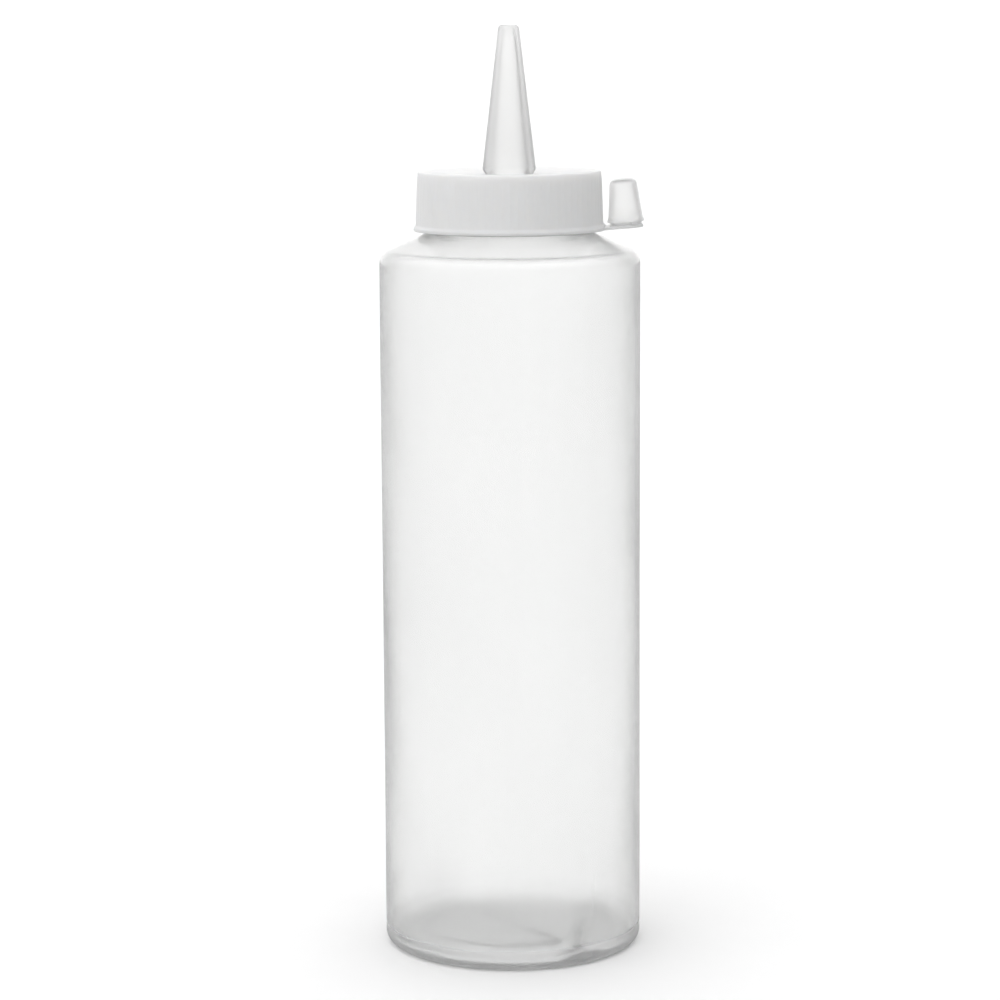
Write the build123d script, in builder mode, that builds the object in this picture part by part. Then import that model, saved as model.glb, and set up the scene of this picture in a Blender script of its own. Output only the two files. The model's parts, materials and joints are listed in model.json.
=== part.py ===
from build123d import *
from math import cos, radians, sin, tan
import os

# A squeeze bottle: a blow-moulded body, a screw cap with a side tab, a cone nozzle snapped
# into the cap, a sealing washer under the cap, and a tip cap parked on the tab's peg.
# Millimetres. +Z is up, +X points along the tab. The origin is the centre of the standing ring.

# The body
overall_height = 205.0
body_radius = 28.75
body_wall = 0.9
shoulder_start = 153.0
shoulder_slope = 23.5
shoulder_round = 3.5
base_corner_round = 2.2
floor_thickness = 1.3
floor_corner_round = 3.2
ring_inner_radius = 22.0
ring_round = 0.8
recess_radius = 18.0
recess_depth = 1.6
recess_round = 3.0

# The mould's parting plane, and the weld that it pinches across the floor
parting_angle = -52.3
weld_length = 40.0
weld_width = 1.4
weld_height = 0.6
weld_root = 0.85
weld_round = 0.45
pinch_tail_length = 33.0
pinch_tail_width = 0.9
pinch_tail_height = 0.9

# The neck and its right-handed thread: a 38 mm bottle finish with six turns to the inch
neck_rim_height = 170.6
neck_root_radius = 17.55
neck_crest_radius = 18.75
neck_bore_radius = 15.5
neck_foot_round = 0.8
neck_bore_round = 1.5
neck_rim_round = 0.3
neck_ridge_root_width = 2.4
neck_ridge_crest_width = 1.2
thread_pitch = 25.4 / 6
thread_turns = 1.25
thread_start = 163.6
ridge_overlap = 0.3

# The screw cap: plate, skirt and foot flange
cap_bottom = 160.3
cap_rim_height = 173.3
cap_plate_height = 172.6
cap_plate_underside = 171.5
cap_top_radius = 20.2
cap_rim_round = 0.9
rim_crest_radius = 18.6
rim_crest_round = 1.5
dish_inner_radius = 6.6
dish_round = 1.0
skirt_foot_radius = 20.6
cap_bore_radius = 19.15
cap_bore_round = 0.4
mouth_chamfer = 0.4
flange_radius = 21.1
flange_thickness = 0.7
flange_slope = 0.6
flange_round = 0.15
cap_ridge_crest_radius = 17.95
cap_ridge_root_width = 1.5
cap_ridge_crest_width = 0.9
gate_mark_radius = 0.45
gate_mark_height = 0.2

# The shallow grip ribs round the skirt
grip_rib_count = 72
grip_rib_radius = 0.4
grip_rib_height = 0.12
grip_rib_top = 171.8
grip_rib_length = 9.6

# The tab on the cap's foot, and the peg that parks the tip cap
tab_tilt = 4.0
tab_root = 19.9
tab_thickness = 0.65
tab_half_width = 3.9
tab_reach = 5.65
gusset_root = 0.3
gusset_face = 0.75
gusset_reach = 1.55
gusset_height = 1.0
gusset_width = 4.0
peg_offset = 5.8
peg_height = 2.6
peg_round = 0.5
peg_clearance = 0.08
collar_radius = 3.5
collar_height = 0.7
collar_notch_width = 0.6
collar_notch_offset = 0.8

# The tip cap, along its own axis from its foot
tip_cap_height = 9.4
tip_cap_foot_radius = 4.04
tip_cap_foot_edge = 0.3
tip_cap_flare_height = 1.15
tip_cap_waist_radius = 3.74
tip_cap_top_radius = 2.88
tip_cap_top_round = 1.45
tip_cap_bore_mouth = 3.1
tip_cap_bore_top = 2.12
tip_cap_bore_depth = 8.5
tip_cap_bore_round = 0.7

# The nozzle, and the spigot that snaps into the cap's plate
nozzle_seat_radius = 5.15
nozzle_foot_height = 173.7
nozzle_foot_radius = 5.86
nozzle_foot_round = 0.35
nozzle_tip_radius = 2.2
nozzle_tip_round = 0.95
nozzle_bore_foot_height = 174.0
nozzle_bore_foot_radius = 3.9
nozzle_bore_tip_radius = 1.35
nozzle_bore_top = 202.6
nozzle_bore_round = 0.25
outlet_radius = 1.1
spigot_radius = 4.75
spigot_clearance = 0.05
spigot_bottom = 170.3
snap_bead_radius = 5.1
snap_bead_height = 0.5

# The sealing washer between the neck's rim and the cap's plate
seal_inner_radius = 15.4
seal_outer_radius = 18.6
seal_edge = 0.1

# Worked out from the sizes above
slope_rise = tan(radians(shoulder_slope))
corner_run = tan(radians((90 - shoulder_slope) / 2))
inner_radius = body_radius - body_wall
inner_shoulder_round = shoulder_round - body_wall
shoulder_corner = shoulder_start + shoulder_round * corner_run
inner_shoulder_corner = shoulder_start + inner_shoulder_round * corner_run
neck_foot = shoulder_corner + (body_radius - neck_root_radius) * slope_rise
neck_bore_foot = inner_shoulder_corner + (inner_radius - neck_bore_radius) * slope_rise
recess_floor = recess_depth + floor_thickness
skirt_lean = (skirt_foot_radius - cap_top_radius) / (cap_rim_height - cap_bottom)
grip_rib_axis = cap_top_radius + grip_rib_height - grip_rib_radius
grip_rib_axis += skirt_lean * (cap_rim_height - grip_rib_top)
collar_top = tab_thickness + collar_height
bore_taper = (tip_cap_bore_mouth - tip_cap_bore_top) / tip_cap_bore_depth
peg_foot_radius = tip_cap_bore_mouth - peg_clearance
peg_top_radius = peg_foot_radius - peg_height * bore_taper
snap_bead_top = cap_plate_underside - spigot_clearance
snap_bead_bottom = snap_bead_top - snap_bead_height
spigot_tip_radius = spigot_radius - spigot_clearance - (snap_bead_radius - spigot_radius)

# Planes: the tab's own, its upright section through the peg, and the section that turns there
tab_plane = Plane(
    origin=(tab_root, 0, cap_bottom),
    x_dir=(cos(radians(tab_tilt)), 0, sin(radians(tab_tilt))),
    z_dir=(-sin(radians(tab_tilt)), 0, cos(radians(tab_tilt))),
)
tab_section = Plane(origin=tab_plane.origin, x_dir=tab_plane.x_dir, z_dir=(0, -1, 0))
parked_origin = tab_plane.from_local_coords((peg_offset, 0, collar_top))
parked_section = Plane(origin=parked_origin, x_dir=tab_plane.x_dir, z_dir=(0, -1, 0))
parked_axis = Axis(parked_origin, tab_plane.z_dir)


def thread_ridge(root_radius, crest_radius, root_width, crest_width, start_height):
    """A right-handed helical ridge from root_radius to crest_radius, thread_turns long."""
    crest = crest_radius - root_radius
    buried = -ridge_overlap if crest > 0 else ridge_overlap
    with BuildPart() as ridge:
        with BuildLine() as path:
            Helix(
                pitch=thread_pitch,
                height=thread_pitch * thread_turns,
                radius=root_radius,
                center=(0, 0, start_height),
            )
        helix = path.edge()
        with BuildSketch(Plane(origin=helix @ 0, x_dir=(1, 0, 0), z_dir=helix % 0)):
            with BuildLine():
                Polyline(
                    (buried, -root_width / 2),
                    (0, -root_width / 2),
                    (crest, -crest_width / 2),
                    (crest, crest_width / 2),
                    (0, root_width / 2),
                    (buried, root_width / 2),
                    close=True,
                )
            make_face()
        sweep(path=helix, is_frenet=True)
    return ridge.part


neck_thread = thread_ridge(
    neck_root_radius,
    neck_crest_radius,
    neck_ridge_root_width,
    neck_ridge_crest_width,
    thread_start,
)

# The weld bead across the inside of the floor, where the mould pinched the tube shut
with BuildPart() as weld_bead:
    with BuildSketch(Plane.XY.offset(recess_floor - weld_root)):
        SlotOverall(weld_length, weld_width, rotation=parting_angle)
    extrude(amount=weld_root + weld_height)
    fillet(weld_bead.faces().sort_by(Axis.Z)[-1].edges(), radius=weld_round)

# The thin tail that the pinch leaves under the floor, inside the recess
with BuildPart() as pinch_tail:
    with BuildSketch(Plane.XY.offset(recess_depth - pinch_tail_height)):
        SlotOverall(pinch_tail_length, pinch_tail_width, rotation=parting_angle)
    extrude(amount=pinch_tail_height + floor_thickness / 2)

# The body: one wall from the standing ring to the neck's rim, open at the neck
with BuildPart() as bottle:
    with BuildSketch(Plane.XZ):
        with BuildLine():
            FilletPolyline(
                (0, recess_depth),
                (recess_radius, recess_depth),
                (ring_inner_radius, 0),
                (body_radius, 0),
                (body_radius, shoulder_corner),
                (neck_root_radius, neck_foot),
                (neck_root_radius, neck_rim_height),
                (neck_bore_radius, neck_rim_height),
                (neck_bore_radius, neck_bore_foot),
                (inner_radius, inner_shoulder_corner),
                (inner_radius, floor_thickness),
                (ring_inner_radius, floor_thickness),
                (recess_radius, recess_floor),
                (0, recess_floor),
                radius=[
                    0,
                    recess_round,
                    ring_round,
                    base_corner_round,
                    shoulder_round,
                    neck_foot_round,
                    neck_rim_round,
                    neck_rim_round,
                    neck_bore_round,
                    inner_shoulder_round,
                    floor_corner_round,
                    ring_round,
                    recess_round,
                    0,
                ],
                close=True,
            )
        make_face()
    revolve(axis=Axis.Z)
    add(neck_thread)
    add(weld_bead.part)
    add(pinch_tail.part)
bottle.part.label = "bottle"

cap_thread = thread_ridge(
    cap_bore_radius,
    cap_ridge_crest_radius,
    cap_ridge_root_width,
    cap_ridge_crest_width,
    thread_start - thread_pitch / 2,
)

# One grip rib: a rod that leans with the skirt, sunk so that it stands proud evenly
with BuildPart() as grip_rib:
    with BuildSketch(
        Plane(
            origin=(grip_rib_axis, 0, grip_rib_top),
            x_dir=(0, 1, 0),
            z_dir=(skirt_lean, 0, -1),
        )
    ):
        Circle(grip_rib_radius)
    extrude(amount=grip_rib_length)

# The screw cap: a turned plate, skirt and flange, with ribs, thread, tab and parking peg
with BuildPart() as screw_cap:
    with BuildSketch(Plane.XZ):
        with BuildLine():
            FilletPolyline(
                (spigot_radius + spigot_clearance, cap_plate_underside),
                (cap_bore_radius, cap_plate_underside),
                (cap_bore_radius, cap_bottom + mouth_chamfer),
                (cap_bore_radius + mouth_chamfer, cap_bottom),
                (flange_radius, cap_bottom),
                (flange_radius, cap_bottom + flange_thickness),
                (skirt_foot_radius, cap_bottom + flange_thickness + flange_slope),
                (cap_top_radius, cap_rim_height),
                (rim_crest_radius, cap_rim_height),
                (dish_inner_radius, cap_plate_height),
                (spigot_radius + spigot_clearance, cap_plate_height),
                radius=[
                    0,
                    cap_bore_round,
                    0,
                    0,
                    flange_round,
                    flange_round,
                    0,
                    cap_rim_round,
                    rim_crest_round,
                    dish_round,
                    0,
                ],
                close=True,
            )
        make_face()
    revolve(axis=Axis.Z)
    add(cap_thread)
    with PolarLocations(0, grip_rib_count):
        add(grip_rib.part)
    with BuildSketch(Plane.XY.offset(cap_bottom - gate_mark_height)):
        with Locations((0, 2 * gate_mark_radius - flange_radius)):
            Circle(gate_mark_radius)
    extrude(amount=gate_mark_height + flange_thickness / 2)
    # The tab rises outward from the flange and ends round, under the tip cap
    with BuildSketch(tab_plane):
        with Locations((tab_reach / 2, 0)):
            Rectangle(tab_reach, 2 * tab_half_width)
        with Locations((tab_reach, 0)):
            Circle(tab_half_width)
    extrude(amount=tab_thickness)
    with BuildSketch(tab_section):
        with BuildLine():
            Polyline(
                (gusset_root, tab_thickness / 2),
                (gusset_reach, tab_thickness / 2),
                (gusset_reach, tab_thickness),
                (gusset_face, tab_thickness + gusset_height),
                (gusset_root, tab_thickness + gusset_height),
                close=True,
            )
        make_face()
    extrude(amount=gusset_width / 2, both=True)
    # The collar that the tip cap stands on has a notch in front, which lets the tip cap drain
    with BuildSketch(tab_plane.offset(tab_thickness)):
        with Locations((peg_offset, 0)):
            Circle(collar_radius)
        with Locations((peg_offset + collar_notch_offset, -collar_radius)):
            Rectangle(collar_notch_width, collar_radius, mode=Mode.SUBTRACT)
    extrude(amount=collar_height)
    with BuildSketch(parked_section):
        with BuildLine():
            FilletPolyline(
                (0, -collar_height / 2),
                (peg_foot_radius, -collar_height / 2),
                (peg_foot_radius, 0),
                (peg_top_radius, peg_height),
                (0, peg_height),
                radius=[0, 0, 0, peg_round, 0],
                close=True,
            )
        make_face()
    revolve(axis=parked_axis)
screw_cap.part.label = "screw_cap"

# The nozzle: a hollow cone on a spigot whose bead snaps under the cap's plate
with BuildPart() as nozzle:
    with BuildSketch(Plane.XZ):
        with BuildLine():
            FilletPolyline(
                (nozzle_bore_foot_radius, spigot_bottom),
                (spigot_tip_radius, spigot_bottom),
                (snap_bead_radius, snap_bead_bottom),
                (snap_bead_radius, snap_bead_top),
                (spigot_radius, snap_bead_top),
                (spigot_radius, cap_plate_height),
                (nozzle_seat_radius, cap_plate_height),
                (nozzle_foot_radius, nozzle_foot_height),
                (nozzle_tip_radius, overall_height),
                (outlet_radius, overall_height),
                (outlet_radius, nozzle_bore_top),
                (nozzle_bore_tip_radius, nozzle_bore_top),
                (nozzle_bore_foot_radius, nozzle_bore_foot_height),
                radius=[
                    0,
                    0,
                    0,
                    0,
                    0,
                    0,
                    0,
                    nozzle_foot_round,
                    nozzle_tip_round,
                    0,
                    0,
                    nozzle_bore_round,
                    0,
                ],
                close=True,
            )
        make_face()
    revolve(axis=Axis.Z)
nozzle.part.label = "nozzle"

# The sealing washer, pressed flat between the neck's rim and the cap's plate
with BuildPart() as seal_ring:
    with BuildSketch(Plane.XY.offset(neck_rim_height)):
        Circle(seal_outer_radius)
        Circle(seal_inner_radius, mode=Mode.SUBTRACT)
    extrude(amount=cap_plate_underside - neck_rim_height)
    chamfer(seal_ring.edges().filter_by(GeomType.CIRCLE), length=seal_edge)
seal_ring.part.label = "seal_ring"

# The tip cap: a blunt hollow cone with a flared foot, standing on the peg's collar
with BuildPart() as tip_cap:
    with BuildSketch(parked_section):
        with BuildLine():
            FilletPolyline(
                (tip_cap_bore_mouth, 0),
                (tip_cap_foot_radius, 0),
                (tip_cap_foot_radius, tip_cap_foot_edge),
                (tip_cap_waist_radius, tip_cap_flare_height),
                (tip_cap_top_radius, tip_cap_height),
                (0, tip_cap_height),
                (0, tip_cap_bore_depth),
                (tip_cap_bore_top, tip_cap_bore_depth),
                radius=[0, 0, 0, 0, tip_cap_top_round, 0, 0, tip_cap_bore_round],
                close=True,
            )
        make_face()
    revolve(axis=parked_axis)
tip_cap.part.label = "tip_cap"

os.makedirs("parts", exist_ok=True)
export_step(bottle.part, "parts/bottle.step")
export_step(screw_cap.part, "parts/screw_cap.step")
export_step(nozzle.part, "parts/nozzle.step")
export_step(seal_ring.part, "parts/seal_ring.step")
export_step(tip_cap.part, "parts/tip_cap.step")
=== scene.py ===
import json
from math import ceil, cos, pi, radians, sin, tan

import bmesh
import bpy
import numpy as np
from mathutils import Matrix, Vector


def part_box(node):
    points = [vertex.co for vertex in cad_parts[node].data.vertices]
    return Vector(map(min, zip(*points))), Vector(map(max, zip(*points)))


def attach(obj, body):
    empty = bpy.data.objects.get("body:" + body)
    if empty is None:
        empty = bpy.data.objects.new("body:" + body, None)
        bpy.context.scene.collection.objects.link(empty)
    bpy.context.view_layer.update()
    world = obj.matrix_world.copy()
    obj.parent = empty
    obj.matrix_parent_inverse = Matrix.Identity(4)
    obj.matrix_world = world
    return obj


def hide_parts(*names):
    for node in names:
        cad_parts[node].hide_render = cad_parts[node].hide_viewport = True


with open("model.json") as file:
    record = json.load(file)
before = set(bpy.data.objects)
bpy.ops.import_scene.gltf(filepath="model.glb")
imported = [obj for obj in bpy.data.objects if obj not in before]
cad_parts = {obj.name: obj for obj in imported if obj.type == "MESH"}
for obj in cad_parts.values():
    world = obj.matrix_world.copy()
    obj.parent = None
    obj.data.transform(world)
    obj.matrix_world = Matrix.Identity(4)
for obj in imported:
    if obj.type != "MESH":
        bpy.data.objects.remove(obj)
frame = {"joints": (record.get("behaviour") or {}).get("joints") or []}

# Outlines and reliefs are written in millimetres, and every mesh is made in metres.
MM = 0.001
SMOOTH_ANGLE = radians(38)


def box_mm(node):
    """The lowest and highest corner of a CAD node, in millimetres."""
    low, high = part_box(node)
    return low / MM, high / MM


# ---- Sizes read from the frame ----
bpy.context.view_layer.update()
_, bottle_high = box_mm("bottle")
nozzle_low, nozzle_high = box_mm("nozzle")
seal_low, seal_high = box_mm("seal_ring")
joints = {joint["name"]: joint for joint in frame["joints"]}

body_radius = bottle_high.x
neck_rim = bottle_high.z
cap_bottom = joints["cap_turn"]["pos_m"][2] / MM
plate_underside = seal_high.z
nozzle_tip = nozzle_high.z
spigot_bottom = nozzle_low.z
lift_axis = joints["tip_cap_lift"]["axis"]

# ---- The bottle's own sizes, millimetres ----
wall = 0.9
shoulder_start = 153.0
shoulder_slope = radians(23.5)
shoulder_round = 3.5
base_round = 2.2
floor_thickness = 1.3
floor_round = 3.2
ring_inner_radius = 22.0
ring_round = 0.8
recess_radius = 18.0
recess_round = 3.0
recess_depth = 1.6
neck_radius = 17.55
neck_foot_round = 0.8
neck_bore = 15.5
neck_bore_round = 1.5
rim_round = 0.3
thread_pitch = 25.4 / 6
thread_turns = 1.25
thread_start = neck_rim - 7.0
thread_height = 1.2
neck_ridge_root, neck_ridge_crest = 2.4, 1.2
parting_angle = radians(-52.3)

# ---- The cap's own sizes ----
plate_thickness = 1.1
cap_top_radius = 20.2
cap_foot_radius = 20.6
cap_bore = 19.15
mouth_chamfer = 0.4
skirt_height = 13.0
flange_radius = 21.1
flange_thickness = 0.7
plate_hole = 4.8
dish_radius = 6.6
rim_crest_radius = 18.6
cap_ridge_root, cap_ridge_crest = 1.5, 0.9
rib_count = 72
rib_height = 0.06
rib_half_width = 0.29
tab_root = 19.9
tab_thickness = 0.65
tab_half_width = 3.9
tab_reach = 5.65
tab_edge = 0.12
peg_offset = 5.8
peg_foot_radius, peg_top_radius = 3.02, 2.71
peg_foot, peg_height, peg_round = -0.3, 2.6, 0.5
collar_radius = 3.5
collar_height = 0.7
collar_notch = radians(12)
collar_notch_share = 0.82
collar_notch_bearing = radians(-77)
gusset_outline = [(0.3, 0), (1.75, 0), (0.75, 1.35), (0.3, 1.35)]
gusset_width = 4.0
gusset_sunk = 0.3
small_edge = 0.1
root_depth = 0.2

# ---- The nozzle's, the washer's and the tip cap's own sizes ----
spigot_bore, spigot_radius, seat_radius = 3.9, 4.35, 4.75
bead_radius, bead_height = 5.1, 0.5
cone_seat_radius = 5.15
cone_foot_radius, cone_foot_height, cone_foot_round = 5.86, 1.1, 1.2
cone_top_radius, cone_top_round = 2.2, 0.95
mouth_radius, mouth_depth, mouth_back_radius = 1.1, 2.4, 1.35
cone_bore_start = 1.4
play = 0.05
washer_bore, washer_radius, washer_round = 15.4, 18.6, 0.12
tip_height, tip_hollow_height = 9.4, 8.5
tip_top_radius, tip_top_round = 2.88, 1.45
tip_hollow_top_radius, tip_hollow_round = 2.12, 0.7
tip_mouth_radius = 3.1
tip_foot_radius, tip_foot_edge = 4.04, 0.3
tip_waist_radius, tip_waist_height = 3.74, 1.15

# ---- Outline steps: how far apart an outline's points are, in millimetres ----
FINE = 0.25
MIDDLE = 0.65
COARSE = 3.0
ARC_STEP = radians(7)


# ---- Mesh building ----
def rounded(corners, closed=False):
    """The outline through corners, each (radius, height, rounding, step), with round corners.

    The step is how far apart points are on the run that follows the corner."""
    count = len(corners)
    spots = [np.array(corner[:2], float) for corner in corners]
    points = []
    for i, (_, _, rounding, _) in enumerate(corners):
        here = spots[i]
        if rounding == 0:
            points.append([here])
            continue
        back = spots[i - 1] - here
        ahead = spots[(i + 1) % count] - here
        back /= np.linalg.norm(back)
        ahead /= np.linalg.norm(ahead)
        half_corner = np.arccos(np.clip(back @ ahead, -1, 1)) / 2
        inward = (back + ahead) / np.linalg.norm(back + ahead)
        across = (ahead - back) / np.linalg.norm(ahead - back)
        centre = here + inward * rounding / sin(half_corner)
        sweep = pi - 2 * half_corner
        turns = np.linspace(-sweep / 2, sweep / 2, max(3, ceil(sweep / ARC_STEP)) + 1)
        points.append([centre + rounding * (across * sin(t) - inward * cos(t)) for t in turns])
    outline = []
    for i, group in enumerate(points):
        outline.extend(group)
        if i + 1 == count and not closed:
            break
        start = group[-1]
        end = points[(i + 1) % count][0]
        pieces = ceil(np.linalg.norm(end - start) / corners[i][3])
        outline.extend(start + (end - start) * k / pieces for k in range(1, pieces))
    return np.array(outline)


def turned(outline, angles, closed=False, relief=None):
    """Points and faces of a piece of revolution about Z.

    relief(angle, radius, height, row) says how far each point moves out of the material."""
    if closed:
        slope = np.roll(outline, -1, 0) - np.roll(outline, 1, 0)
    else:
        slope = np.gradient(outline, axis=0)
    slope /= np.linalg.norm(slope, axis=1, keepdims=True)
    radius, height = outline[:, :1], outline[:, 1:]
    angle = np.asarray(angles)[None, :]
    rows = np.arange(len(outline))[:, None]
    push = np.zeros((len(outline), angle.size))
    if relief:
        push = push + relief(angle, radius, height, rows)
    around = radius + push * slope[:, 1:]
    up = height - push * slope[:, :1]
    on_axis = outline[:, 0] < 1e-9
    around[on_axis] = 0
    grid = np.stack([around * np.cos(angle), around * np.sin(angle), up + 0 * angle], -1)
    points, index = [], np.zeros(grid.shape[:2], int)
    for i, row in enumerate(grid):
        if on_axis[i]:
            index[i] = len(points)
            points.append(row.mean(0))
        else:
            index[i] = len(points) + np.arange(len(row))
            points.extend(row)
    below = index if closed else index[:-1]
    above = np.roll(index, -1, 0) if closed else index[1:]
    corners = np.stack([below, np.roll(below, -1, 1), np.roll(above, -1, 1), above], -1)
    faces = []
    for a, b, c, d in corners.reshape(-1, 4).tolist():
        if a == b:
            faces.append((a, c, d))
        elif c == d:
            faces.append((a, b, c))
        else:
            faces.append((a, b, c, d))
    return np.array(points), faces


def even_angles(count):
    """Evenly spaced angles round a full turn."""
    return np.arange(count) * 2 * pi / count


def placed(shape, matrix):
    """A shape's points moved by a matrix in millimetres."""
    points, faces = shape
    turn = np.array(matrix.to_3x3())
    return points @ turn.T + np.array(matrix.translation), faces


def slab(outline, thickness, edge):
    """A flat plate over an outline, from 0 up to its thickness, with rounded edges."""
    mesh = bmesh.new()
    base = [mesh.verts.new((x, y, 0)) for x, y in outline]
    made = bmesh.ops.extrude_face_region(mesh, geom=[mesh.faces.new(base)])
    raised = [v for v in made["geom"] if isinstance(v, bmesh.types.BMVert)]
    bmesh.ops.translate(mesh, verts=raised, vec=(0, 0, thickness))
    rims = [e for e in mesh.edges if abs(e.verts[0].co.z - e.verts[1].co.z) < edge / 10]
    bmesh.ops.bevel(mesh, geom=rims, offset=edge, segments=3, profile=0.5, affect="EDGES")
    bmesh.ops.recalc_face_normals(mesh, faces=mesh.faces)
    mesh.verts.index_update()
    points = np.array([v.co for v in mesh.verts])
    faces = [tuple(v.index for v in f.verts) for f in mesh.faces]
    mesh.free()
    return points, faces


def piece(name, shapes, material, body, node):
    """One object made of the shapes, riding on a body and standing for a CAD node."""
    points, faces = [], []
    for shape_points, shape_faces in shapes:
        offset = len(points)
        points.extend((shape_points * MM).tolist())
        faces.extend(tuple(i + offset for i in face) for face in shape_faces)
    mesh = bpy.data.meshes.new(name)
    mesh.from_pydata(points, [], faces)
    mesh.polygons.foreach_set("use_smooth", [True] * len(mesh.polygons))
    mesh.set_sharp_from_angle(angle=SMOOTH_ANGLE)
    mesh.materials.append(material)
    made = bpy.data.objects.new(name, mesh)
    bpy.context.scene.collection.objects.link(made)
    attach(made, body)
    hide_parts(node)
    return made


# ---- Reliefs ----
def ramp(value, low, high):
    """0 below low, 1 above high, and smooth between."""
    share = np.clip((value - low) / (high - low), 0, 1)
    return share * share * (3 - 2 * share)


def thread(angle, height, start, root_width, crest_width):
    """The share of the thread's full height: a right-handed ridge that fades at its ends."""
    turn = (angle / (2 * pi)) % 1
    ridge = np.zeros(np.broadcast(angle, height).shape)
    for lap in range(ceil(thread_turns)):
        travel = turn + lap
        middle = start + thread_pitch * travel
        sides = 1 - ramp(np.abs(height - middle), crest_width / 2, root_width / 2)
        ends = ramp(travel, 0, 0.03) * (1 - ramp(travel, thread_turns - 0.03, thread_turns))
        ridge = np.maximum(ridge, sides * ends)
    return ridge


def unevenness(angle, height):
    """Slow waves over a blown wall, from -1 to 1."""
    broad = 0.5 * np.cos(2 * angle + 0.031 * height + 0.6)
    middle = 0.3 * np.cos(3 * angle - 0.052 * height + 2.1)
    small = 0.2 * np.cos(5 * angle + 0.087 * height + 4.0)
    return broad + middle + small


# ---- The bottle ----
slope_rise = tan(shoulder_slope)
corner_run = tan((pi / 2 - shoulder_slope) / 2)
shoulder_corner = shoulder_start + shoulder_round * corner_run
inner_corner = shoulder_start + (shoulder_round - wall) * corner_run
neck_foot = shoulder_corner + (body_radius - neck_radius) * slope_rise
bore_foot = inner_corner + (body_radius - wall - neck_bore) * slope_rise
recess_floor = recess_depth + floor_thickness

bottle_outline = rounded([
    (0, recess_depth, 0, MIDDLE),
    (recess_radius, recess_depth, recess_round, MIDDLE),
    (ring_inner_radius, 0, ring_round, MIDDLE),
    (body_radius, 0, base_round, COARSE),
    (body_radius, shoulder_corner, shoulder_round, MIDDLE),
    (neck_radius, neck_foot, neck_foot_round, FINE),
    (neck_radius, neck_rim, rim_round, MIDDLE),
    (neck_bore, neck_rim, rim_round, MIDDLE),
    (neck_bore, bore_foot, neck_bore_round, MIDDLE),
    (body_radius - wall, inner_corner, shoulder_round - wall, COARSE),
    (body_radius - wall, floor_thickness, floor_round, MIDDLE),
    (ring_inner_radius, floor_thickness, ring_round, MIDDLE),
    (recess_radius, recess_floor, recess_round, MIDDLE),
    (0, recess_floor, 0, MIDDLE),
])
rim_row = int(np.argmax(bottle_outline[:, 1]))
seam_width, seam_height = 0.16, 0.05
weld_half_length, weld_half_width, weld_height = 20.0, 0.7, 0.3
lump_radius, lump_level, lump_width, lump_depth = 25.5, 5.0, 8.0, 2.2
tail_half_length, tail_half_width, tail_height = 16.5, 0.45, 0.9
outer_waves, inner_waves = 0.05, 0.16


def bottle_relief(angle, radius, height, row):
    """The parting line, the wall's unevenness, the weld over the floor with a lump at each end,
    the pinched tail under the floor, and the thread."""
    outside = row <= rim_row
    across = radius * np.sin(angle - parting_angle)
    along = np.abs(radius * np.cos(angle - parting_angle))
    on_wall = ramp(height, 3, 12) * (1 - ramp(height, shoulder_start - 8, shoulder_corner))
    seam = seam_height * np.exp(-((across / seam_width) ** 2))
    seam = seam * outside * (radius > ring_inner_radius)
    seam = seam * ramp(height, 0.5, 2.5) * (1 - ramp(height, shoulder_start - 4, shoulder_start))
    uneven = unevenness(angle, height) * on_wall * np.where(outside, outer_waves, inner_waves)
    crown = np.sqrt(1 - np.clip(across / weld_half_width, -1, 1) ** 2)
    crown = crown * (1 - ramp(along, weld_half_length - 2.5, weld_half_length))
    weld = weld_height * crown * ~outside * (height < 2 * recess_floor)
    away = np.hypot(across, np.hypot(along - lump_radius, height - lump_level))
    lump = lump_depth * (1 - ramp(away, 0, lump_width)) * ~outside
    fin = 1 - ramp(np.abs(across), 0.6 * tail_half_width, tail_half_width)
    fin = fin * (1 - ramp(along, tail_half_length - 1, tail_half_length))
    tail = tail_height * fin * outside * (height < recess_depth + 0.1)
    ridge = thread(angle, height, thread_start, neck_ridge_root, neck_ridge_crest)
    ridge = thread_height * ridge * outside * (height > neck_foot)
    return seam + uneven + weld + lump + tail + ridge


def bottle_angles():
    """Even angles, closer together beside the parting line and its weld."""
    angles = [even_angles(160)]
    for side in (parting_angle, parting_angle + pi):
        angles.append(side + np.radians(np.arange(-6, 6.01, 0.3)))
        angles.append(side + np.radians(np.arange(-0.9, 0.91, 0.1)))
    found = np.sort(np.concatenate(angles) % (2 * pi))
    apart = np.diff(found, append=found[0] + 2 * pi)
    return found[apart > radians(0.04)]


# ---- The screw cap ----
cap_rim = cap_bottom + skirt_height
cap_plate = plate_underside + plate_thickness

cap_outline = rounded([
    (plate_hole, plate_underside, 0, MIDDLE),
    (cap_bore, plate_underside, 0.4, FINE),
    (cap_bore, cap_bottom + mouth_chamfer, 0.1, FINE),
    (cap_bore + mouth_chamfer, cap_bottom, 0.1, MIDDLE),
    (flange_radius, cap_bottom, 0.15, FINE),
    (flange_radius, cap_bottom + flange_thickness, 0.2, FINE),
    (cap_foot_radius, cap_bottom + flange_thickness + 0.6, 0.4, MIDDLE),
    (cap_top_radius, cap_rim, 0.5, MIDDLE),
    (rim_crest_radius, cap_rim, 1.5, MIDDLE),
    (dish_radius, cap_plate, 1.0, MIDDLE),
    (plate_hole, cap_plate, 0, MIDDLE),
], closed=True)


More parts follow.
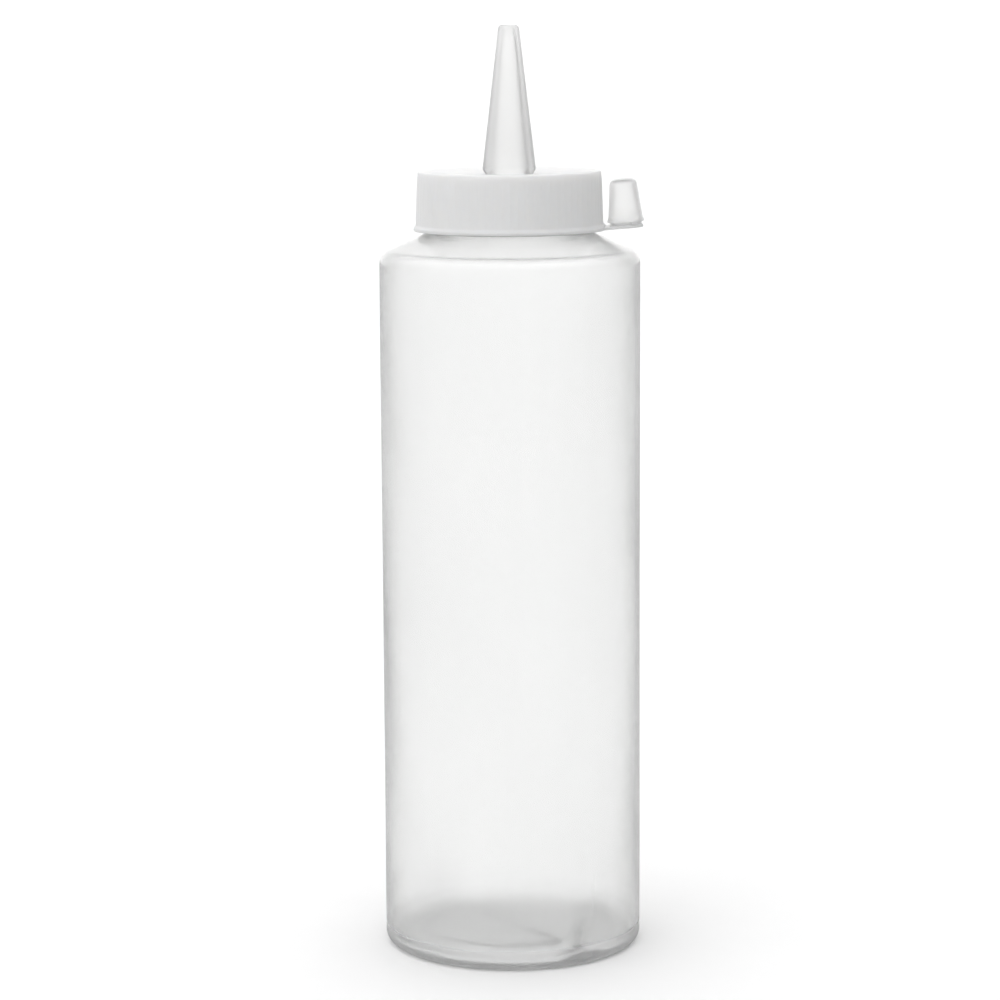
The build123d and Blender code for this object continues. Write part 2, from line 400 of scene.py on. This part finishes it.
def cap_relief(angle, radius, height, row):
    """The grip ribs round the skirt, and the thread inside it."""
    pitch = 2 * pi / rib_count
    across = radius * ((angle + pitch / 2) % pitch - pitch / 2)
    rib = np.clip(1 - (across / rib_half_width) ** 2, 0, 1)
    ends = ramp(height, cap_bottom + 1.6, cap_bottom + 2.2)
    ends = ends * (1 - ramp(height, cap_rim - 1.8, cap_rim - 1.3))
    ribs = rib_height * rib * ends * (radius > cap_bore + 0.8)
    inside = (radius < cap_bore + 0.05) & (height < plate_underside - 0.5)
    start = thread_start - thread_pitch / 2
    ridge = thread_height * thread(angle, height, start, cap_ridge_root, cap_ridge_crest)
    return ribs + ridge * inside


def cap_angles():
    """Angles for the skirt: seven to a rib, closest together on the rib itself."""
    pitch = 360 / rib_count
    steps = np.array([-0.8, -0.42, 0, 0.42, 0.8, 1.9, 3.1])
    angles = (np.arange(rib_count)[:, None] * pitch + steps[None, :]).ravel()
    return np.sort(np.radians(angles) % (2 * pi))


tab_tilt = np.arcsin(-lift_axis[0])
tab_place = Matrix.Translation((tab_root, 0, cap_bottom)) @ Matrix.Rotation(-tab_tilt, 4, "Y")
park_place = tab_place @ Matrix.Translation((peg_offset, 0, tab_thickness + collar_height))


def tab_shapes():
    """The tab with its gusset, and the notched collar and peg that park the tip cap."""
    ends = np.radians(np.linspace(-90, 90, 33))
    round_end = [(tab_reach + tab_half_width * cos(t), tab_half_width * sin(t)) for t in ends]
    square_end = [(0, tab_half_width), (0, -tab_half_width)]
    plate = slab(square_end + round_end, tab_thickness, tab_edge)
    first = collar_notch_bearing + collar_notch / 2
    last = collar_notch_bearing - collar_notch / 2 + 2 * pi
    sweep = np.linspace(first, last, 61)
    ring = [(collar_radius * cos(t), collar_radius * sin(t)) for t in sweep]
    inner = collar_notch_share * collar_radius
    dent = [(inner * cos(t), inner * sin(t)) for t in sweep[[-1, 0]]]
    collar = slab(ring + dent, collar_height + root_depth, small_edge)
    peg = rounded([
        (0, peg_foot, 0, MIDDLE),
        (peg_foot_radius, peg_foot, 0, MIDDLE),
        (peg_top_radius, peg_height, peg_round, MIDDLE),
        (0, peg_height, 0, MIDDLE),
    ])
    gusset = slab(gusset_outline, gusset_width, small_edge)
    aside = Matrix.Translation((0, gusset_width / 2, tab_thickness - gusset_sunk))
    upright = aside @ Matrix.Rotation(pi / 2, 4, "X")
    down = Matrix.Translation((0, 0, -collar_height - root_depth))
    return [
        placed(plate, tab_place),
        placed(gusset, tab_place @ upright),
        placed(collar, park_place @ down),
        placed(turned(peg, even_angles(64)), park_place),
    ]


# ---- The nozzle, the washer and the tip cap ----
cone_seat = cap_plate + 0.02
nozzle_outline = rounded([
    (spigot_bore, spigot_bottom, 0.15, MIDDLE),
    (spigot_radius, spigot_bottom, 0.1, FINE),
    (bead_radius, plate_underside - play - bead_height, 0.08, FINE),
    (bead_radius, plate_underside - play, 0.08, FINE),
    (seat_radius, plate_underside - play, 0.05, FINE),
    (seat_radius, cone_seat, 0.05, FINE),
    (cone_seat_radius, cone_seat, 0.12, FINE),
    (cone_foot_radius, cap_plate + cone_foot_height, cone_foot_round, MIDDLE),
    (cone_top_radius, nozzle_tip, cone_top_round, FINE),
    (mouth_radius, nozzle_tip, 0.15, FINE),
    (mouth_radius, nozzle_tip - mouth_depth, 0.1, FINE),
    (mouth_back_radius, nozzle_tip - mouth_depth, 0.1, MIDDLE),
    (spigot_bore, cap_plate + cone_bore_start, 0.5, MIDDLE),
], closed=True)

seal_outline = rounded([
    (washer_bore, seal_low.z, washer_round, MIDDLE),
    (washer_radius, seal_low.z, washer_round, FINE),
    (washer_radius, seal_high.z, washer_round, MIDDLE),
    (washer_bore, seal_high.z, washer_round, FINE),
], closed=True)

tip_outline = rounded([
    (0, tip_hollow_height, 0, MIDDLE),
    (tip_hollow_top_radius, tip_hollow_height, tip_hollow_round, MIDDLE),
    (tip_mouth_radius, 0, 0.1, FINE),
    (tip_foot_radius, 0, 0.1, FINE),
    (tip_foot_radius, tip_foot_edge, 0.1, FINE),
    (tip_waist_radius, tip_waist_height, 0.5, MIDDLE),
    (tip_top_radius, tip_height, tip_top_round, MIDDLE),
    (0, tip_height, 0, MIDDLE),
])


# ---- Materials ----
# The bottle's foot is scuffed up to the first height and clean from the second, in millimetres.
scuffed_to, clean_from = 3.2, 5.2
# Noise scales: turns of the pattern in a metre.
CLOUDS, FINE_GRAIN = (38, 38, 24), (1500, 1500, 1500)
# How deep the bumps of the grain and of the flow lines are, in metres.
GRAIN_DEPTH, FLOW_DEPTH = 0.03 * MM, 0.15 * MM


def node(tree, kind, **values):
    """A node of a tree, with its inputs and settings by name."""
    made = tree.nodes.new("ShaderNode" + kind)
    for name, value in values.items():
        if name in made.inputs:
            target = made.inputs[name]
            if isinstance(value, bpy.types.NodeSocket):
                tree.links.new(value, target)
            else:
                target.default_value = value
        else:
            setattr(made, name, value)
    return made


def noise(tree, place, stretch, detail, distortion=0.0):
    """A noise's value over a place, finer along the axes that are stretched more."""
    mapping = node(tree, "Mapping", Vector=place, Scale=stretch)
    made = node(tree, "TexNoise", Vector=mapping.outputs[0], Scale=1.0, Detail=detail)
    made.inputs["Distortion"].default_value = distortion
    return made.outputs["Fac"]


def between(tree, value, low, high, start, end):
    """value taken from low..high to start..end."""
    made = node(tree, "MapRange", Value=value)
    for name, number in zip(("From Min", "From Max", "To Min", "To Max"), (low, high, start, end)):
        made.inputs[name].default_value = number
    return made.outputs["Result"]


def blended(tree, share, first, second):
    """A colour between two, by a share."""
    made = node(tree, "Mix", data_type="RGBA")
    tree.links.new(share, made.inputs["Factor"])
    for socket, colour in ((made.inputs[6], first), (made.inputs[7], second)):
        if isinstance(colour, bpy.types.NodeSocket):
            tree.links.new(colour, socket)
        else:
            socket.default_value = (*colour, 1)
    return made.outputs[2]


def polymer(
    name, pale, deep, clear, rough, scatter, dim, streaks, grain,
    matt=0.0, ior=1.51, glow=0.0, mirror=1.0,
):
    """A natural moulded plastic. clear is the share that passes straight through, scatter the
    depth in millimetres that light wanders, dim what a metre of it takes from the light,
    streaks the flow lines' scale, grain the bump, and matt the extra roughness of the foot.
    glow is a painted glow: light the plastic gives off itself, seen only by rays that came through
    its clear neighbours, in place of the light that passes inside it. mirror is how much its
    surface mirrors when met straight on."""
    material = bpy.data.materials.new(name)
    material.use_nodes = True
    tree = material.node_tree
    shader = tree.nodes["Principled BSDF"]
    place = node(tree, "TexCoord").outputs["Object"]
    flow = noise(tree, place, streaks, 3.0)
    clouds = noise(tree, place, CLOUDS, 2.0, 0.4)
    fine = noise(tree, place, FINE_GRAIN, 2.0)
    mottle = node(tree, "Math", operation="ADD")
    tree.links.new(between(tree, flow, 0.35, 0.65, 0.0, 0.6), mottle.inputs[0])
    tree.links.new(between(tree, clouds, 0.3, 0.7, 0.0, 0.4), mottle.inputs[1])
    colour = blended(tree, mottle.outputs[0], pale, deep)
    tree.links.new(colour, shader.inputs["Base Color"])
    haze = between(tree, clouds, 0.3, 0.7, rough - 0.03, rough + 0.03)
    if matt:
        height = node(tree, "SeparateXYZ", Vector=place).outputs["Z"]
        scuffed = between(tree, height, scuffed_to * MM, clean_from * MM, matt, 0.0)
        rougher = node(tree, "Math", operation="ADD")
        tree.links.new(haze, rougher.inputs[0])
        tree.links.new(scuffed, rougher.inputs[1])
        haze = rougher.outputs[0]
    tree.links.new(haze, shader.inputs["Roughness"])
    shader.inputs["IOR"].default_value = ior
    shader.inputs["Transmission Weight"].default_value = clear
    shader.inputs["Subsurface Weight"].default_value = 1.0 if scatter else 0.0
    shader.inputs["Subsurface Radius"].default_value = (1.0, 0.97, 0.92)
    shader.inputs["Subsurface Scale"].default_value = max(scatter, 0.1) * MM
    surface = node(tree, "Bump", Strength=grain, Distance=GRAIN_DEPTH, Height=fine)
    waves = node(tree, "Bump", Strength=0.5 * grain, Distance=FLOW_DEPTH, Height=flow)
    tree.links.new(surface.outputs[0], waves.inputs["Normal"])
    tree.links.new(waves.outputs[0], shader.inputs["Normal"])
    shader.inputs["Specular Tint"].default_value = (mirror, mirror, mirror, 1)
    # Painted glow: the plastic gives off light of its own, but only to rays that came through a
    # clear part, in place of the light that passes inside it.
    if glow:
        through = node(tree, "LightPath").outputs["Is Transmission Ray"]
        shader.inputs["Emission Color"].default_value = (1, 1, 1, 1)
        painted_glow = between(tree, through, 0.0, 1.0, 0.0, glow)
        tree.links.new(painted_glow, shader.inputs["Emission Strength"])
    if dim:
        inside = node(tree, "VolumeAbsorption", Color=(0.5, 0.5, 0.5, 1), Density=2 * dim)
        tree.links.new(inside.outputs[0], tree.nodes["Material Output"].inputs["Volume"])
    return material


bottle_plastic = polymer(
    "bottle_plastic", (0.985, 0.987, 0.985), (0.97, 0.972, 0.97), clear=0.94, rough=0.18,
    scatter=0, dim=35, streaks=(420, 420, 9), grain=0.02, matt=0.22, mirror=0.35,
)
# The cap has a painted glow: it gives off its own light wherever it is seen through the clear
# bottle, nozzle or tip cap.
cap_plastic = polymer(
    "cap_plastic", (0.94, 0.94, 0.937), (0.9, 0.9, 0.897),
    clear=0.3, rough=0.55, scatter=2.5, dim=0, streaks=(90, 90, 60), grain=0.15, glow=0.36,
)
nozzle_plastic = polymer(
    "nozzle_plastic", (0.985, 0.985, 0.982), (0.97, 0.97, 0.967),
    clear=0.96, rough=0.33, scatter=0, dim=55, streaks=(160, 160, 30), grain=0.04, ior=1.40,
)
tip_plastic = polymer(
    "tip_plastic", (0.97, 0.97, 0.967), (0.95, 0.95, 0.947),
    clear=0.94, rough=0.33, scatter=0, dim=60, streaks=(160, 160, 30), grain=0.04, ior=1.40,
)
seal_foam = polymer(
    "seal_foam", (0.86, 0.85, 0.82), (0.78, 0.77, 0.74),
    clear=0.0, rough=0.75, scatter=1.0, dim=0, streaks=(700, 700, 700), grain=0.8,
)

# ---- The pieces ----
piece(
    "bottle_shell",
    [turned(bottle_outline, bottle_angles(), relief=bottle_relief)],
    bottle_plastic, "bottle", "bottle",
)
piece(
    "cap_moulding",
    [turned(cap_outline, cap_angles(), closed=True, relief=cap_relief), *tab_shapes()],
    cap_plastic, "cap", "screw_cap",
)
piece(
    "nozzle_cone",
    [turned(nozzle_outline, even_angles(160), closed=True)],
    nozzle_plastic, "cap", "nozzle",
)
piece(
    "seal_washer",
    [turned(seal_outline, even_angles(160), closed=True)],
    seal_foam, "seal", "seal_ring",
)
piece(
    "tip_cap_moulding",
    [placed(turned(tip_outline, even_angles(128)), park_place)],
    tip_plastic, "tip", "tip_cap",
)


# ---- Studio: floor, world, lamps and camera ----
def floor_material(seen, through, mirrored, soft):
    """A back-lit white board, as (tone, glow): tone is the share of the studio's light that it
    returns, glow its own light. It is given as seen straight on, as seen through the plastic, as
    mirrored in it, and as met by soft bounces, which keeps the sides from being flooded."""
    material = bpy.data.materials.new("studio_floor")
    material.use_nodes = True
    tree = material.node_tree
    tree.nodes.clear()
    tooth = noise(tree, node(tree, "TexCoord").outputs["Object"], (60, 60, 60), 3.0)
    boards = []
    for tone, glow in (seen, through, mirrored, soft):
        shades = [(tone * level,) * 3 for level in (1.0, 0.98)]
        board = node(tree, "BsdfDiffuse", Color=blended(tree, tooth, *shades))
        light = node(tree, "Emission", Color=(1, 1, 1, 1), Strength=glow)
        both = node(tree, "AddShader")
        tree.links.new(board.outputs[0], both.inputs[0])
        tree.links.new(light.outputs[0], both.inputs[1])
        boards.append(both.outputs[0])
    path = node(tree, "LightPath").outputs
    surface = boards[1]
    kinds = ("Is Reflection Ray", "Is Diffuse Ray", "Is Camera Ray")
    for kind, board in zip(kinds, (boards[2], boards[3], boards[0])):
        mix = node(tree, "MixShader")
        tree.links.new(path[kind], mix.inputs[0])
        tree.links.new(surface, mix.inputs[1])
        tree.links.new(board, mix.inputs[2])
        surface = mix.outputs[0]
    tree.links.new(surface, node(tree, "OutputMaterial").inputs["Surface"])
    return material


def studio_floor(radius=6.0, drop=0.00002, sides=64):
    """A round pale floor, far wider than any view needs, just clear of the standing ring."""
    mesh = bpy.data.meshes.new("studio_floor")
    rim = [(radius * cos(t), radius * sin(t), -drop) for t in even_angles(sides)]
    mesh.from_pydata(rim, [], [tuple(range(sides))])
    board = floor_material(
        seen=(0.92, 0.0), through=(0.2, 0.93), mirrored=(0.2, 0.38), soft=(0.22, 0.41),
    )
    mesh.materials.append(board)
    floor = bpy.data.objects.new("studio_floor", mesh)
    bpy.context.scene.collection.objects.link(floor)


def studio_world(above, behind, front, left, right):
    """A soft surround whose brightness changes with direction: above the object, behind it, in
    front of it, and to its left and right."""
    world = bpy.data.worlds.new("studio_world")
    bpy.context.scene.world = world
    world.use_nodes = True
    tree = world.node_tree
    tree.nodes.clear()
    direction = node(tree, "TexCoord").outputs["Generated"]
    parts = node(tree, "SeparateXYZ", Vector=direction)
    across, along = parts.outputs["X"], parts.outputs["Y"]
    near = between(tree, along, -0.9, -0.4, 1.0, 0.0)
    colour = blended(tree, near, (left,) * 3, (front,) * 3)
    shaded = between(tree, across, 0.0, 0.7, 0.0, 1.0)
    colour = blended(tree, shaded, colour, (right,) * 3)
    far = between(tree, along, 0.5, 0.9, 0.0, 1.0)
    colour = blended(tree, far, colour, (behind,) * 3)
    high = between(tree, parts.outputs["Z"], 0.35, 0.8, 0.0, 1.0)
    colour = blended(tree, high, colour, (above,) * 3)
    surround = node(tree, "Background", Color=colour, Strength=1.0)
    seen = node(tree, "Background", Color=(1, 1, 1, 1), Strength=1.1)
    mix = node(tree, "MixShader")
    tree.links.new(node(tree, "LightPath").outputs["Is Camera Ray"], mix.inputs[0])
    tree.links.new(surround.outputs[0], mix.inputs[1])
    tree.links.new(seen.outputs[0], mix.inputs[2])
    output = node(tree, "OutputWorld")
    tree.links.new(mix.outputs[0], output.inputs["Surface"])


def softbox(name, place, target, size, watts):
    """A square area lamp that faces a target."""
    lamp = bpy.data.lights.new(name, "AREA")
    lamp.size = size
    lamp.energy = watts
    made = bpy.data.objects.new(name, lamp)
    made.location = place
    toward = made.location - Vector(target)
    made.rotation_euler = toward.to_track_quat("Z", "Y").to_euler()
    made.visible_camera = False
    bpy.context.scene.collection.objects.link(made)


def studio_camera(distance, height, offset, pitch, roll, lens):
    """The camera in front of the object, looking slightly down."""
    data = bpy.data.cameras.new("camera")
    data.sensor_width = 36.0
    data.lens = lens
    camera = bpy.data.objects.new("camera", data)
    look = Matrix.Rotation(pi / 2 - pitch, 4, "X") @ Matrix.Rotation(roll, 4, "Z")
    camera.matrix_world = Matrix.Translation((offset, -distance, height)) @ look
    bpy.context.scene.collection.objects.link(camera)
    bpy.context.scene.camera = camera


studio_floor()
studio_world(above=1.5, behind=1.4, front=0.88, left=0.62, right=0.0)
softbox("key", place=(-0.8, -0.6, 0.5), target=(0, 0, 0.1), size=0.8, watts=0.8)
studio_camera(
    distance=0.680, height=0.2036, offset=-0.00243,
    pitch=radians(8.645), roll=radians(-0.315), lens=111.0,
)
bpy.context.scene.view_settings.view_transform = "Standard"
# Light passes many thin walls, and is guided inside them, before it leaves the object.
paths = bpy.context.scene.cycles
paths.max_bounces = paths.transmission_bounces = paths.glossy_bounces = 64
